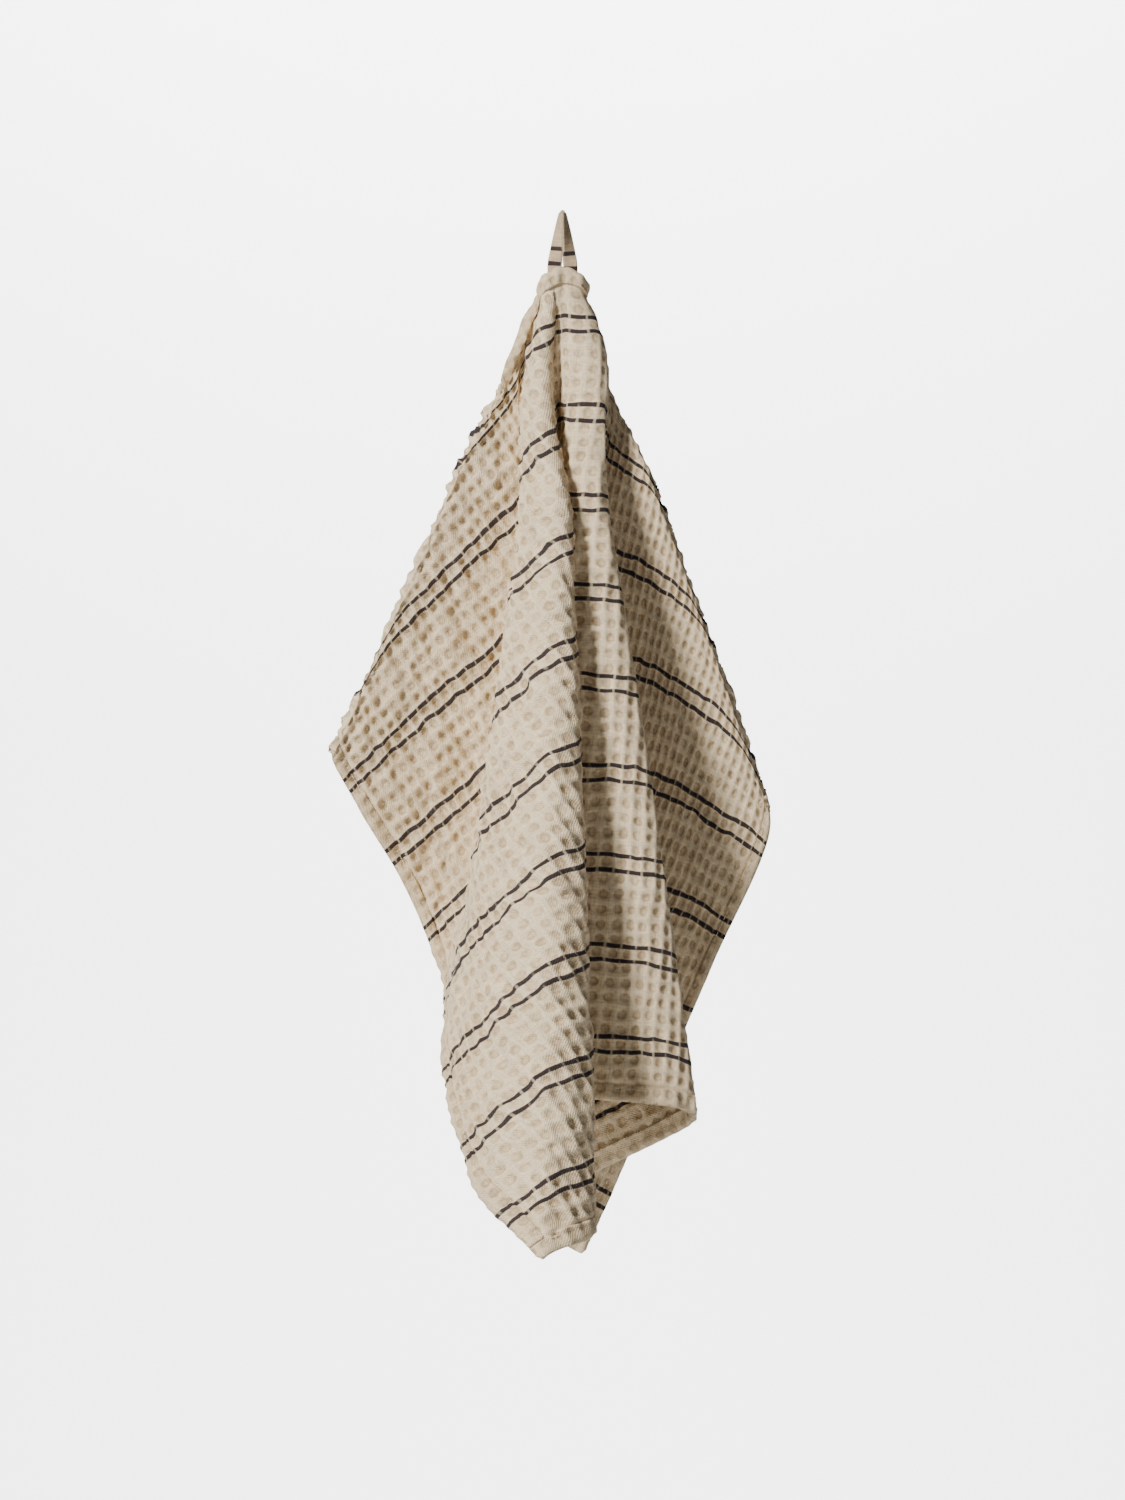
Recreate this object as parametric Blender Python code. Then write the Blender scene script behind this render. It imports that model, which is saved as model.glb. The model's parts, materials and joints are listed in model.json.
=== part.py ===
"""A striped waffle-weave towel that hangs folded from a sewn tape loop.

The cloth is a flat rectangle with a loop at the middle of its long upper edge. Every point of
the flat cloth is carried onto a pleated cone whose fold lines fan out from the loop, so that
lengths along the cloth are kept. The panel, the four turned hems, their seams and the loop are
separate closed solids. Metres, +Z up, the front of the towel faces -Y, and the origin is the
point inside the top of the loop where it bears on its hook.
"""

import math
from dataclasses import dataclass

import bmesh
import bpy
import numpy as np

# Cloth, as it lies flat
CLOTH_WIDTH = 0.700
CLOTH_DROP = 0.500
CLOTH_THICKNESS = 0.0016
HEM_WIDTH = 0.010
HEM_THICKNESS = 0.0020
HEM_GAP = 0.0010
STITCH_GAP = 0.0004

# Seams that hold the hems down
STITCH_INSET = 0.0078
STITCH_WIDTH = 0.0008
STITCH_HEIGHT = 0.0005

# Hanging loop of narrow tape
LOOP_HEIGHT = 0.0320
LOOP_BASE_WIDTH = 0.0185
LOOP_EYE_WIDTH = 0.0046
TAPE_WIDTH = 0.0088
TAPE_THICKNESS = 0.0010
LOOP_TWIST_START = 0.0180
LOOP_HINGE_GAP = 0.0004
TACK_LENGTH = 0.0064
TACK_WIDTH = 0.0016
TACK_HEIGHT = 0.0007
TACK_INSET = 0.0015
LOOP_SPREAD_END = 0.0060

# Gather at the loop, from which the fold lines fan out
GATHER_RISE = 0.012
GATHER_SPREAD = 0.015
GATHER_SPREAD_REACH = 0.150
COLLAR_END = 0.022
WAIST_START = 0.120
WAIST_END = 0.230
SKIRT_START = 0.560

# Fineness of the solids
RULING_STEP = math.radians(1.8)
TOP_EDGE_STEP = 0.020
PANEL_ROWS = 10
PANEL_ROW_CROWDING = 1.15
PANEL_END_HEIGHT = 0.010
BAND_END_MARGIN = 0.001
TAPE_STEPS_PER_LEG = 14
TAPE_CROWN_STEPS = 6
LEAST_RULING_GAP = RULING_STEP / 3
LEAST_SINE = 1e-9
SLOPE_STEP = 0.0004
BALANCE_COLUMNS = 141
BALANCE_ROWS = 101
BALANCE_PASSES = 5
SHARP_ANGLE = math.radians(60)

# Colours and roughness
CREAM = (0.78, 0.70, 0.58, 1.0)
HEM_CREAM = (0.72, 0.64, 0.52, 1.0)
THREAD_CREAM = (0.84, 0.78, 0.68, 1.0)
TAPE_CREAM = (0.66, 0.58, 0.47, 1.0)
PANEL_ROUGHNESS = 0.95
HEM_ROUGHNESS = 0.92
TAPE_ROUGHNESS = 0.90
THREAD_ROUGHNESS = 0.70


@dataclass(frozen=True)
class FoldLine:
    """One line that fans out from the loop, with angles in degrees.

    flat is the line's angle from straight down on the flat cloth. swing is its angle from
    straight down in the hanging towel, towards +X, and lean its angle towards the viewer. Both
    have a value at the waist and one at the skirt. reach is the share of its flat length that
    the crinkled cloth keeps.
    """

    name: str
    flat: float
    swing: tuple
    lean: tuple
    reach: float


FOLD_LINES = (
    FoldLine("left top corner", -90, (-13, -13), (-27, -27), 0.92),
    FoldLine("left back flap", -80, (-20, -20), (-23.5, -23.5), 0.92),
    FoldLine("left outer crease", -71, (-24.5, -24.5), (-17.8, -17.8), 0.92),
    FoldLine("left wing outer", -64, (-19.5, -21), (-14.5, -16), 0.93),
    FoldLine("left wing middle", -58, (-14, -15.5), (-11.5, -13.5), 0.94),
    FoldLine("left wing inner", -53, (-9.4, -12), (-11.5, -10.5), 0.95),
    FoldLine("valley", -48.5, (-6.6, -9.2), (-11.5, -7.5), 0.97),
    FoldLine("front panel left", -43, (-8, -7.7), (-6.5, -4), 1.0),
    FoldLine("front panel middle", -38, (-4.8, -5.2), (-3.6, -1), 1.01),
    FoldLine("front crease near side", -34, (-0.9, -1.2), (0.3, 2.6), 1.01),
    FoldLine("front crease", -30.5, (1.8, 1.8), (-1.3, 0.6), 1.01),
    FoldLine("under-fold left", -19, (-4.5, -4.5), (-10.5, -9), 1.0),
    FoldLine("under-fold back", -9, (-1, -1.5), (-16, -14), 1.0),
    FoldLine("column left", 4, (0.5, 0.5), (-6.6, -5), 1.0),
    FoldLine("column middle", 11, (7, 6.2), (-4.8, -4.4), 1.0),
    FoldLine("column right crease", 15, (9.5, 8.6), (-6, -5.6), 1.0),
    FoldLine("back pleat left", 25, (3, 1.8), (-11.5, -10.5), 0.98),
    FoldLine("back pleat inner", 30, (3.6, 0.9), (-15, -14.8), 0.96),
    FoldLine("right wing inner", 37, (8.7, 4.6), (-16.2, -17), 0.94),
    FoldLine("right wing middle", 46, (14.5, 11.5), (-16, -17), 0.92),
    FoldLine("right outer crease", 57, (20.6, 19.6), (-19, -19), 0.89),
    FoldLine("right back flap", 68, (14, 14), (-25, -25), 0.89),
    FoldLine("right back flap inner", 79, (3, 3), (-28.5, -28.5), 0.89),
    FoldLine("right top corner", 90, (-8, -8), (-27, -27), 0.89),
)

# The unpleated curve that the cloth makes right under the loop: flat angle, swing, lean
COLLAR_CURVE = (
    (-90, -27, -14),
    (-64, -25, -7),
    (-42, -19, 0),
    (0, 0, 0),
    (42, 19, 0),
    (64, 24, -8),
    (90, 20, -30),
)


def smooth_step(value, start, end):
    """0 before start, 1 after end and a smooth ramp between them."""
    ramp = np.clip((value - start) / (end - start), 0.0, 1.0)
    return ramp * ramp * (3.0 - 2.0 * ramp)


def monotone_curve(knots, values):
    """A smooth curve through values at knots that never overshoots them."""
    knots = np.asarray(knots, float)
    values = np.asarray(values, float)
    steps = np.diff(knots)
    slopes = np.diff(values) / steps
    tangents = np.zeros(len(knots))
    tangents[0] = slopes[0]
    tangents[-1] = slopes[-1]
    for i in range(1, len(knots) - 1):
        if slopes[i - 1] * slopes[i] > 0:
            before = 2 * steps[i] + steps[i - 1]
            after = steps[i] + 2 * steps[i - 1]
            tangents[i] = (before + after) / (before / slopes[i - 1] + after / slopes[i])

    def evaluate(at):
        at = np.clip(at, knots[0], knots[-1])
        index = np.clip(np.searchsorted(knots, at) - 1, 0, len(steps) - 1)
        width = steps[index]
        t = (at - knots[index]) / width
        return (
            values[index] * (1 + 2 * t) * (1 - t) ** 2
            + tangents[index] * width * t * (1 - t) ** 2
            + values[index + 1] * t * t * (3 - 2 * t)
            + tangents[index + 1] * width * t * t * (t - 1)
        )

    return evaluate


class Drape:
    """Carries points of the flat cloth, u across and v down from the loop, onto the pleated cone."""

    def __init__(self):
        flat = [line.flat for line in FOLD_LINES]
        self.waist_swing = monotone_curve(flat, [line.swing[0] for line in FOLD_LINES])
        self.skirt_swing = monotone_curve(flat, [line.swing[1] for line in FOLD_LINES])
        self.waist_lean = monotone_curve(flat, [line.lean[0] for line in FOLD_LINES])
        self.skirt_lean = monotone_curve(flat, [line.lean[1] for line in FOLD_LINES])
        self.reach = monotone_curve(flat, [line.reach for line in FOLD_LINES])
        collar = list(zip(*COLLAR_CURVE))
        self.collar_swing = monotone_curve(collar[0], collar[1])
        self.collar_lean = monotone_curve(collar[0], collar[2])
        self.trim = 0.0
        self.balance()

    def point(self, u, v):
        """World positions of the cloth's middle layer at the flat points u, v."""
        u = np.asarray(u, float)
        v = np.asarray(v, float)
        radius = np.hypot(u, v + GATHER_RISE)
        flat = np.degrees(np.arctan2(u, v + GATHER_RISE))
        to_skirt = smooth_step(radius, WAIST_END, SKIRT_START)
        to_waist = smooth_step(radius, COLLAR_END, WAIST_START)
        swing = self.waist_swing(flat) * (1 - to_skirt) + self.skirt_swing(flat) * to_skirt
        lean = self.waist_lean(flat) * (1 - to_skirt) + self.skirt_lean(flat) * to_skirt
        swing = self.collar_swing(flat) * (1 - to_waist) + swing * to_waist
        lean = self.collar_lean(flat) * (1 - to_waist) + (lean + self.trim) * to_waist
        reach = 1 + (self.reach(flat) - 1) * to_waist
        swing = np.radians(swing)
        lean = np.radians(lean)
        spread = GATHER_SPREAD * np.exp(-((radius / GATHER_SPREAD_REACH) ** 2))
        length = radius * reach
        x = (length + spread) * np.sin(swing) * np.cos(lean)
        y = -(length + spread) * np.sin(lean)
        z = GATHER_RISE - LOOP_HINGE_GAP - LOOP_HEIGHT - length * np.cos(swing) * np.cos(lean)
        return np.stack([x, y, z], axis=-1)

    def normal(self, u, v):
        """Unit normals out of the cloth's front face at the flat points u, v."""
        along_u = self.point(u + SLOPE_STEP, v) - self.point(u - SLOPE_STEP, v)
        along_v = self.point(u, v + SLOPE_STEP) - self.point(u, v - SLOPE_STEP)
        normal = np.cross(along_v, along_u)
        return normal / np.linalg.norm(normal, axis=-1, keepdims=True)

    def balance(self):
        """Leans the folds until the cloth's centre of mass lies under the loop's hinge."""
        u, v = np.meshgrid(
            np.linspace(-CLOTH_WIDTH / 2, CLOTH_WIDTH / 2, BALANCE_COLUMNS),
            np.linspace(0, CLOTH_DROP, BALANCE_ROWS),
        )
        for _ in range(BALANCE_PASSES):
            points = self.point(u, v)
            down = points[1:, :-1] - points[:-1, :-1]
            across = points[:-1, 1:] - points[:-1, :-1]
            area = np.linalg.norm(np.cross(down, across), axis=-1)[..., None]
            middle = (points[1:, 1:] + points[:-1, :-1]) / 2
            centre = (middle * area).sum(axis=(0, 1)) / area.sum()
            drop = -LOOP_HEIGHT - centre[2]
            self.trim += math.degrees(math.atan2(centre[1], drop))


def angle_of(u, v):
    """Angle of the fan line through the flat point u, v."""
    return math.atan2(u, v + GATHER_RISE)


def fan_angles():
    """Angles of the fan lines that the solids follow: each fold line, each corner and steps between."""
    side, top, bottom = panel_edges()
    limit = angle_of(side, top + PANEL_END_HEIGHT)
    corner = angle_of(side, bottom)
    stops = [-limit, -corner, corner, limit]
    for line in FOLD_LINES:
        angle = math.radians(line.flat)
        if min(abs(angle - stop) for stop in stops) > LEAST_RULING_GAP:
            stops.append(angle)
    for i in range(1, int(side / TOP_EDGE_STEP)):
        angle = angle_of(i * TOP_EDGE_STEP, top)
        if min(abs(angle - abs(stop)) for stop in stops) > LEAST_RULING_GAP:
            stops.extend((-angle, angle))
    stops = sorted(stop for stop in stops if -limit <= stop <= limit)
    angles = [stops[-1]]
    for start, end in zip(stops, stops[1:]):
        count = max(1, round((end - start) / RULING_STEP))
        angles.extend(start + (end - start) * i / count for i in range(count))
    return np.array(sorted(angles))


def panel_edges():
    """Side, top and bottom of the panel inside its hems."""
    inset = HEM_WIDTH + HEM_GAP
    return CLOTH_WIDTH / 2 - inset, inset, CLOTH_DROP - inset


def panel_grid(angles):
    """Flat points of the panel: a column for each fan line, from the top hem out to the others."""
    side, top, bottom = panel_edges()
    inner = (top + GATHER_RISE) / np.cos(angles)
    to_bottom = (bottom + GATHER_RISE) / np.cos(angles)
    to_side = side / np.maximum(np.abs(np.sin(angles)), LEAST_SINE)
    outer = np.minimum(to_bottom, to_side)
    share = np.linspace(0, 1, PANEL_ROWS)[:, None] ** PANEL_ROW_CROWDING
    radii = inner + (outer - inner) * share
    return radii * np.sin(angles), radii * np.cos(angles) - GATHER_RISE


def band_across(angles, v_rows, u_start, u_end):
    """Flat points of a band along the cloth's width, cut square at both ends."""
    u = np.tan(angles) * (np.array(v_rows)[:, None] + GATHER_RISE)
    inside = ((u > u_start + BAND_END_MARGIN) & (u < u_end - BAND_END_MARGIN)).all(axis=0)
    ends = np.ones((len(v_rows), 1))
    u = np.hstack([u_start * ends, u[:, inside], u_end * ends])
    return u, np.broadcast_to(np.array(v_rows)[:, None], u.shape)


def band_under_loop(angles, v_rows, u_end):
    """Flat points of a band along the top edge, with its columns square to the edge."""
    side, top, _ = panel_edges()
    u = np.tan(angles) * (top + GATHER_RISE)
    u = np.concatenate([[-u_end], u[np.abs(u) < min(side, u_end) - BAND_END_MARGIN], [u_end]])
    return np.meshgrid(u, np.array(v_rows))


def band_down(angles, u_rows, v_start, v_end):
    """Flat points of a band along the cloth's drop, cut square at both ends."""
    same_side = angles[np.sign(angles) == np.sign(u_rows[0])]
    v = np.array(u_rows)[:, None] / np.tan(same_side) - GATHER_RISE
    inside = ((v > v_start + BAND_END_MARGIN) & (v < v_end - BAND_END_MARGIN)).all(axis=0)
    ends = np.ones((len(u_rows), 1))
    v = np.sort(np.hstack([v_start * ends, v[:, inside], v_end * ends]), axis=1)
    return np.broadcast_to(np.array(u_rows)[:, None], v.shape), v


def slab_mesh(name, drape, grid, back, front):
    """A closed sheet over a grid of flat points, from back to front along the cloth's normal."""
    u, v = grid
    rows, columns = u.shape
    middle = drape.point(u, v)
    normal = drape.normal(u, v)
    points = np.concatenate(
        [(middle + normal * front).reshape(-1, 3), (middle + normal * back).reshape(-1, 3)]
    )
    index = np.arange(rows * columns).reshape(rows, columns)
    under = index + rows * columns
    faces = []
    for i in range(rows - 1):
        for j in range(columns - 1):
            faces.append((index[i, j], index[i + 1, j], index[i + 1, j + 1], index[i, j + 1]))
            faces.append((under[i, j], under[i, j + 1], under[i + 1, j + 1], under[i + 1, j]))
    rim = list(index[0, :]) + list(index[1:, -1]) + list(index[-1, -2::-1]) + list(index[-2:0:-1, 0])
    for near, far in zip(rim, rim[1:] + rim[:1]):
        faces.append((near, far, far + rows * columns, near + rows * columns))
    mesh = bpy.data.meshes.new(name)
    mesh.from_pydata([tuple(p) for p in points], [], [tuple(int(i) for i in f) for f in faces])
    mesh.validate()
    mesh.update()
    bm = bmesh.new()
    bm.from_mesh(mesh)
    bmesh.ops.recalc_face_normals(bm, faces=bm.faces)
    bm.to_mesh(mesh)
    bm.free()
    mesh.shade_smooth()
    mesh.set_sharp_from_angle(angle=SHARP_ANGLE)
    return mesh


def add_object(name, mesh, material, parent=None):
    """Puts a mesh in the scene as a named object with its material."""
    mesh.materials.append(material)
    obj = bpy.data.objects.new(name, mesh)
    bpy.context.scene.collection.objects.link(obj)
    if parent is not None:
        obj.parent = parent
        obj.matrix_parent_inverse = parent.matrix_world.inverted()
    return obj


def make_material(name, colour, roughness):
    """A plain cloth or thread material."""
    material = bpy.data.materials.new(name)
    material.use_nodes = True
    shader = material.node_tree.nodes["Principled BSDF"]
    shader.inputs["Base Color"].default_value = colour
    shader.inputs["Roughness"].default_value = roughness
    shader.inputs["Metallic"].default_value = 0.0
    material.diffuse_color = colour
    return material


def tape_path():
    """Points along the loop's tape with its sideways direction: up the left leg and down the right."""
    eye_x = (LOOP_EYE_WIDTH + TAPE_THICKNESS) / 2
    base_x = (LOOP_BASE_WIDTH - TAPE_WIDTH) / 2
    crown_z = -LOOP_EYE_WIDTH / 2
    leg_end = -LOOP_HEIGHT + LOOP_HINGE_GAP
    leg = []
    for i in range(TAPE_STEPS_PER_LEG + 1):
        z = leg_end + (crown_z - leg_end) * i / TAPE_STEPS_PER_LEG
        spread = 1 - float(smooth_step(z, leg_end + LOOP_SPREAD_END, -LOOP_TWIST_START))
        turn = math.pi / 2 * (1 - float(smooth_step(z, leg_end, -LOOP_TWIST_START)))
        x = eye_x + (base_x - eye_x) * spread
        leg.append((x, z, turn))
    left = [((-x, 0.0, z), (-math.sin(turn), math.cos(turn), 0.0)) for x, z, turn in leg]
    right = [((x, 0.0, z), (math.sin(turn), math.cos(turn), 0.0)) for x, z, turn in leg]
    crown = []
    for i in range(1, TAPE_CROWN_STEPS):
        angle = math.pi * (1 - i / TAPE_CROWN_STEPS)
        point = (eye_x * math.cos(angle), 0.0, crown_z + eye_x * math.sin(angle))
        crown.append((point, (0.0, 1.0, 0.0)))
    return left + crown + right[::-1]


def tape_mesh(name):
    """The loop: a flat tape swept along its path, closed at both ends."""
    path = tape_path()
    centres = np.array([point for point, _ in path])
    across = np.array([side for _, side in path])
    along = np.gradient(centres, axis=0)
    along /= np.linalg.norm(along, axis=1, keepdims=True)
    across -= along * np.sum(across * along, axis=1, keepdims=True)
    across /= np.linalg.norm(across, axis=1, keepdims=True)
    outward = np.cross(along, across)
    bm = bmesh.new()
    rings = []
    for centre, side, out in zip(centres, across, outward):
        ring = []
        for a, b in ((-1, -1), (1, -1), (1, 1), (-1, 1)):
            corner = centre + side * a * TAPE_WIDTH / 2 + out * b * TAPE_THICKNESS / 2
            ring.append(bm.verts.new(corner))
        rings.append(ring)
    for first, second in zip(rings, rings[1:]):
        for i in range(4):
            bm.faces.new((first[i], first[(i + 1) % 4], second[(i + 1) % 4], second[i]))
    bm.faces.new(rings[0][::-1])
    bm.faces.new(rings[-1])
    bmesh.ops.recalc_face_normals(bm, faces=bm.faces)
    mesh = bpy.data.meshes.new(name)
    bm.to_mesh(mesh)
    bm.free()
    return mesh


def hem_bands(angles):
    """Flat grids of the four hems, by name."""
    half = CLOTH_WIDTH / 2
    side, top, bottom = panel_edges()
    return {
        "top_hem": band_under_loop(angles, (0.0, HEM_WIDTH / 2, HEM_WIDTH), half),
        "bottom_hem": band_across(angles, (bottom + HEM_GAP, CLOTH_DROP), -half, half),
        "left_side_hem": band_down(angles, (-half, -half + HEM_WIDTH), top, bottom),
        "right_side_hem": band_down(angles, (half - HEM_WIDTH, half), top, bottom),
    }


def seam_bands(angles):
    """Flat grids of the four stitched seams, each a fixed inset from its edge."""
    half = CLOTH_WIDTH / 2
    near = STITCH_INSET - STITCH_WIDTH / 2
    far = STITCH_INSET + STITCH_WIDTH / 2
    end = half - near
    top_end = STITCH_INSET + HEM_WIDTH - near
    bottom_end = CLOTH_DROP - top_end
    return {
        "top_hem_seam": band_under_loop(angles, (near, far), end),
        "bottom_hem_seam": band_across(angles, (CLOTH_DROP - far, CLOTH_DROP - near), -end, end),
        "left_side_seam": band_down(angles, (-half + near, -half + far), top_end, bottom_end),
        "right_side_seam": band_down(angles, (half - far, half - near), top_end, bottom_end),
    }


def tack_bands(angles):
    """Flat grids of the two bar tacks that hold the loop's ends to the top hem."""
    centre = (LOOP_BASE_WIDTH - TAPE_WIDTH) / 2
    near = centre - TACK_LENGTH / 2
    far = centre + TACK_LENGTH / 2
    rows = (TACK_INSET, TACK_INSET + TACK_WIDTH)
    return {
        "left_bar_tack": band_across(angles, rows, -far, -near),
        "right_bar_tack": band_across(angles, rows, near, far),
    }


def build():
    """Makes every piece: the loop, then the cloth that swings below it."""
    for obj in list(bpy.data.objects):
        bpy.data.objects.remove(obj, do_unlink=True)

    drape = Drape()
    angles = fan_angles()

    loop_cloth = make_material("loop_tape", TAPE_CREAM, TAPE_ROUGHNESS)
    panel_cloth = make_material("waffle_cloth", CREAM, PANEL_ROUGHNESS)
    hem_cloth = make_material("hem_cloth", HEM_CREAM, HEM_ROUGHNESS)
    thread = make_material("sewing_thread", THREAD_CREAM, THREAD_ROUGHNESS)

    add_object("hanging_loop", tape_mesh("hanging_loop"), loop_cloth)

    swing_axis = bpy.data.objects.new("swing_axis", None)
    swing_axis.location = (0.0, 0.0, -LOOP_HEIGHT)
    bpy.context.scene.collection.objects.link(swing_axis)
    bpy.context.view_layer.update()

    half_panel = CLOTH_THICKNESS / 2
    half_hem = HEM_THICKNESS / 2
    panel = slab_mesh("towel_panel", drape, panel_grid(angles), -half_panel, half_panel)
    add_object("towel_panel", panel, panel_cloth, swing_axis)
    for name, grid in hem_bands(angles).items():
        hem = slab_mesh(name, drape, grid, -half_hem, half_hem)
        add_object(name, hem, hem_cloth, swing_axis)
    seat = half_hem + STITCH_GAP
    for name, grid in seam_bands(angles).items():
        seam = slab_mesh(name, drape, grid, seat, seat + STITCH_HEIGHT)
        add_object(name, seam, thread, swing_axis)
    for name, grid in tack_bands(angles).items():
        tack = slab_mesh(name, drape, grid, seat, seat + TACK_HEIGHT)
        add_object(name, tack, thread, swing_axis)


build()
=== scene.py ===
"""A striped waffle-weave towel hanging in folds from its sewn loop, dressed around its frame.

The flat cloth is described by two distances: u across it and v down from the loop. A drape
carries every flat point onto a pleated cone whose fold lines fan out from the loop, and each
piece (the waffle panel, the turned hems, their stitches, the bar tacks) is woven or sewn in
flat places and then carried onto that drape. Metres, +Z up, the front faces -Y, and the origin
is the point inside the loop's top that bears on its hook.
"""

import json
import logging
import math
from dataclasses import dataclass, field
from enum import Enum
from itertools import product
from typing import Callable, Iterable

import bpy
import numpy as np
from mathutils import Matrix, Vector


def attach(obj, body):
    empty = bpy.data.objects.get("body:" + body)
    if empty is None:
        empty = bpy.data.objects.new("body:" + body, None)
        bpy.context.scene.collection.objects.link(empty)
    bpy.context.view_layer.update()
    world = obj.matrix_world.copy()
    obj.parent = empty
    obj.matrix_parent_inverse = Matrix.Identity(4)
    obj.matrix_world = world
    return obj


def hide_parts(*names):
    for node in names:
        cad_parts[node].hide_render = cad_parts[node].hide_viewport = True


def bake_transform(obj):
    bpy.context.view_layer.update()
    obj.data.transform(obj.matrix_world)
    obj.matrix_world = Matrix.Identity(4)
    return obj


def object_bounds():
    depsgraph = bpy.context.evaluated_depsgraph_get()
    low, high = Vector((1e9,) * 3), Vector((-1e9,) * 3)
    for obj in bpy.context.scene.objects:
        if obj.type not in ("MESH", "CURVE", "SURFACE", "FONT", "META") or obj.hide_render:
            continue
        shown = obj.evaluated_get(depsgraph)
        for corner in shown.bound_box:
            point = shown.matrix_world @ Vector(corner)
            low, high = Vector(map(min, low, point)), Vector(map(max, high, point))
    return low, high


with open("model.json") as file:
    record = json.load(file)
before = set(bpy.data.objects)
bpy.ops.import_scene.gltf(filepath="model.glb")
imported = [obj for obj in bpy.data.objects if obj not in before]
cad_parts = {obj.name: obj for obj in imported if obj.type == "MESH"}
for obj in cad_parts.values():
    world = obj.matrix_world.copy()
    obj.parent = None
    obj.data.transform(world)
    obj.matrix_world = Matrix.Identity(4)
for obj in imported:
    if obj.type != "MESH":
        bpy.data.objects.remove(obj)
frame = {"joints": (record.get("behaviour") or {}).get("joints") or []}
FRAME_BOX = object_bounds()

log = logging.getLogger("waffle_towel")

Grid = tuple[np.ndarray, np.ndarray]
Pair = tuple[float, float]
Colour = tuple[float, float, float]
Curve = Callable[[np.ndarray], np.ndarray]

TACK_CENTRE = 0.00485
HINGE = np.array(frame["joints"][0]["pos_m"], float)
PLACE = "flat_place"
BAKE_MAP = "OFBake"

# The bake map's margin, and the bands of it that a sheet's faces and its rim take
MAP_LOW = 0.01
MAP_HIGH = 0.99
FRONT_MAP_TOP = 0.485
RIM_MAP_LOW = 0.495
RIM_MAP_HIGH = 0.505
BACK_MAP_FOOT = 0.515


# ---- The flat cloth and the way that it hangs ----


@dataclass(frozen=True)
class ClothCut:
    """The cloth as it lies flat, hems included."""

    width: float = 0.700
    drop: float = 0.500
    hem_width: float = 0.010
    seam_inset: float = 0.0078

    @property
    def half(self) -> float:
        """Half of the cloth's width."""
        return self.width / 2


@dataclass(frozen=True)
class FoldLine:
    """One line that fans out from the loop, with angles in degrees.

    flat is the line's angle from straight down on the flat cloth. swing is its angle from
    straight down in the hanging towel, towards +X, and lean its angle towards the viewer. Both
    have a value at the throat, one at the waist and one at the skirt. reach is the share of its
    flat length that the crinkled cloth keeps.
    """

    name: str
    flat: float
    swing: tuple[float, float, float]
    lean: tuple[float, float, float]
    reach: float


FOLD_LINES = (
    FoldLine("left top corner", -90, (-21, -13, -13), (-4, -27, -27), 0.92),
    FoldLine("left back flap", -80, (-21.5, -20, -20), (-9, -23, -23), 0.915),
    FoldLine("left outer crease", -71, (-21, -24.5, -24.5), (-13, -14, -14), 0.91),
    FoldLine("left wing outer", -64, (-19.5, -19.5, -21), (-14.5, -15, -15.5), 0.928),
    FoldLine("left wing middle", -58, (-18, -14, -15.5), (-15, -16, -16.5), 0.953),
    FoldLine("left wing inner", -53, (-17, -9.4, -12), (-14.5, -16.5, -17), 0.977),
    FoldLine("valley", -48.5, (-15.5, -6.6, -9.2), (-12, -15.5, -15), 0.992),
    FoldLine("front panel left", -43, (-14.5, -8, -7.7), (-6, -6.5, -4), 1.0),
    FoldLine("front panel middle", -38, (-12.5, -4.8, -5.2), (-2.5, -3.6, -1), 1.01),
    FoldLine("front crease near side", -34, (-9.5, -0.9, -0.9), (0.5, 0.3, 2.6), 1.0),
    FoldLine("front crease", -30.5, (-6.5, 1.8, 1.8), (-0.5, -1.3, 0.6), 1.01),
    FoldLine("under-fold left", -19, (-5, -4.5, -4.5), (-5, -10.5, -9), 1.0),
    FoldLine("under-fold back", -9, (-1.5, -1, -1.5), (-6, -16, -14), 1.0),
    FoldLine("column left", 4, (4, 0.5, 0.5), (-3.5, -6.6, -5), 1.0),
    FoldLine("column middle", 11, (10, 7, 6.2), (-1, -4.8, -4.4), 1.0),
    FoldLine("column right crease", 15, (14.5, 9.5, 8.6), (-0.5, -6, -5.6), 1.0),
    FoldLine("back pleat left", 25, (20, 3, 1), (-3, -11.5, -10.5), 1.0),
    FoldLine("back pleat inner", 30, (20.5, 3.6, -1.2), (-7, -15, -14.8), 1.0),
    FoldLine("right wing inner", 37, (18.5, 8.7, 3.4), (-13, -16.2, -16.2), 0.98),
    FoldLine("right wing middle", 46, (16, 14.5, 11.5), (-17, -15.5, -16), 0.916),
    FoldLine("right outer crease", 57, (15, 20.6, 19.9), (-20, -15, -15), 0.875),
    FoldLine("right back flap", 68, (11, 14, 14), (-24, -25, -25), 0.89),
    FoldLine("right back flap inner", 79, (3, 3, 3), (-27, -28.5, -28.5), 0.89),
    FoldLine("right top corner", 90, (-6, -8, -8), (-27, -27, -27), 0.89),
)

# The unpleated curve that the cloth makes right under the loop: flat angle, swing, lean
COLLAR_CURVE = (
    (-90, -23, -6),
    (-64, -21, -6),
    (-42, -17, 0),
    (0, 0, 0),
    (42, 19, 0),
    (64, 24, -8),
    (90, 20, -30),
)


def smooth_step(value: np.ndarray, start: float, end: float) -> np.ndarray:
    """A smooth ramp.

    Args:
        value: Where to read the ramp.
        start: The value up to which it is 0.
        end: The value from which it is 1.

    Returns:
        The ramp's height at each value.
    """
    ramp = np.clip((value - start) / (end - start), 0.0, 1.0)
    return ramp * ramp * (3.0 - 2.0 * ramp)


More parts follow.
